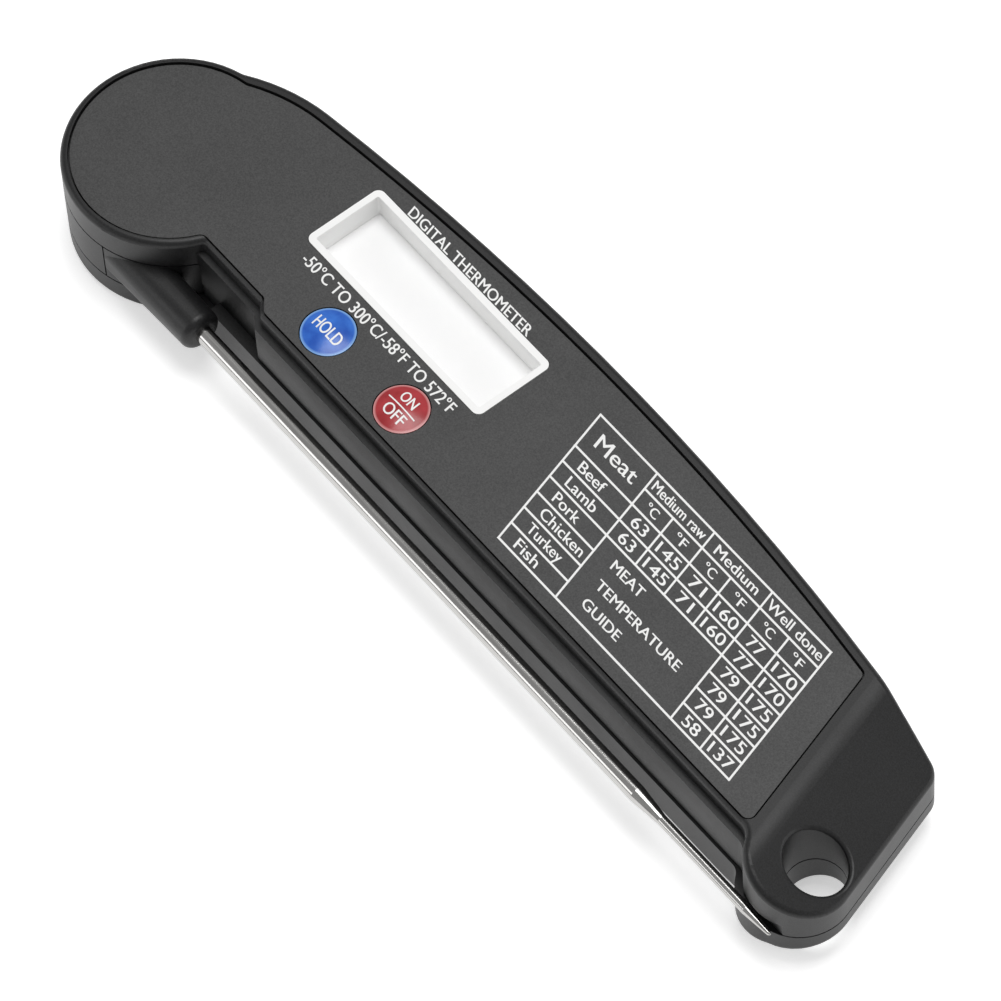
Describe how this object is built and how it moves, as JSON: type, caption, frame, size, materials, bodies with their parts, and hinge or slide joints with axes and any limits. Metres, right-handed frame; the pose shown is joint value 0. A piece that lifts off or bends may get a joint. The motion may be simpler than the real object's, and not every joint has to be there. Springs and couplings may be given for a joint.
{
  "type": "meat thermometer",
  "caption": "Folding digital meat thermometer: slim black case with a display, push buttons and a hang hole, and a steel probe on a pivoting arm that folds along its side.",
  "frame": {"origin": "centre of the bounding box in plan, on the back face that rests on a table", "axes": "+X along the case from the pivot head to the hang hole, +Y away from the folded probe, +Z out of the face"},
  "size_m": [0.1597, 0.0391, 0.0165],
  "materials": {
    "moulded_black": "moulded ABS, satin",
    "label_film": "fine-grained printed film",
    "white_plastic": "satin",
    "clear_lens": "clear",
    "lcd_glass": "satin polariser",
    "elastomer": "matt",
    "board": "solder mask",
    "switch_body": "matt",
    "epoxy": "gloss",
    "nickel": "plated",
    "ceramic": "matt",
    "cell_wrap": "printed sleeve",
    "wire_pvc": "PVC",
    "steel_screws": "zinc plated",
    "nylon": "natural",
    "stainless": "polished",
    "button_blue": "translucent gloss",
    "button_red": "translucent gloss"
  },
  "bodies": {
    "case": {"front_case": "moulded_black", "rear_case": "moulded_black", "label_plate": "label_film", "display_bezel": "white_plastic", "window_lens": "clear_lens", "lcd_panel": "lcd_glass", "zebra_strip": "elastomer", "circuit_board": "board", "hold_switch": "switch_body", "power_switch": "switch_body", "controller_blob": "epoxy", "crystal_can": "nickel", "chip_capacitors": "ceramic", "battery_cell": "cell_wrap", "battery_plate_contact": "nickel", "battery_spring_contact": "nickel", "battery_leads": "wire_pvc", "board_leads": "wire_pvc", "case_screws": "steel_screws", "board_screws": "steel_screws", "friction_washer": "nylon", "spring_washer": "steel_screws"},
    "probe": {"hub_drum": "moulded_black", "probe_arm": "moulded_black", "probe_tube": "stainless", "sensor_bead": "epoxy", "probe_leads": "wire_pvc"},
    "hold_button": {"hold_button": "button_blue"},
    "power_button": {"power_button": "button_red"},
    "battery_door": {"battery_door": "moulded_black"}
  },
  "joints": [
    {"name": "probe_fold", "type": "hinge", "parent": "case", "child": "probe", "pos_m": [-0.0645, -0.00415, 0.0077], "axis": [0, 0, -1], "range_deg": [0, 180]},
    {"name": "hold_press", "type": "slide", "parent": "case", "child": "hold_button", "axis": [0, 0, -1], "range_m": [0, 0.0004], "stiffness_N_per_m": 600, "springref_m": -0.0002},
    {"name": "power_press", "type": "slide", "parent": "case", "child": "power_button", "axis": [0, 0, -1], "range_m": [0, 0.0004], "stiffness_N_per_m": 600, "springref_m": -0.0002},
    {"name": "battery_door_open", "type": "hinge", "parent": "case", "child": "battery_door", "pos_m": [0.0512, 0.0034, 0], "axis": [0, -1, 0], "range_deg": [0, 60]}
  ]
}
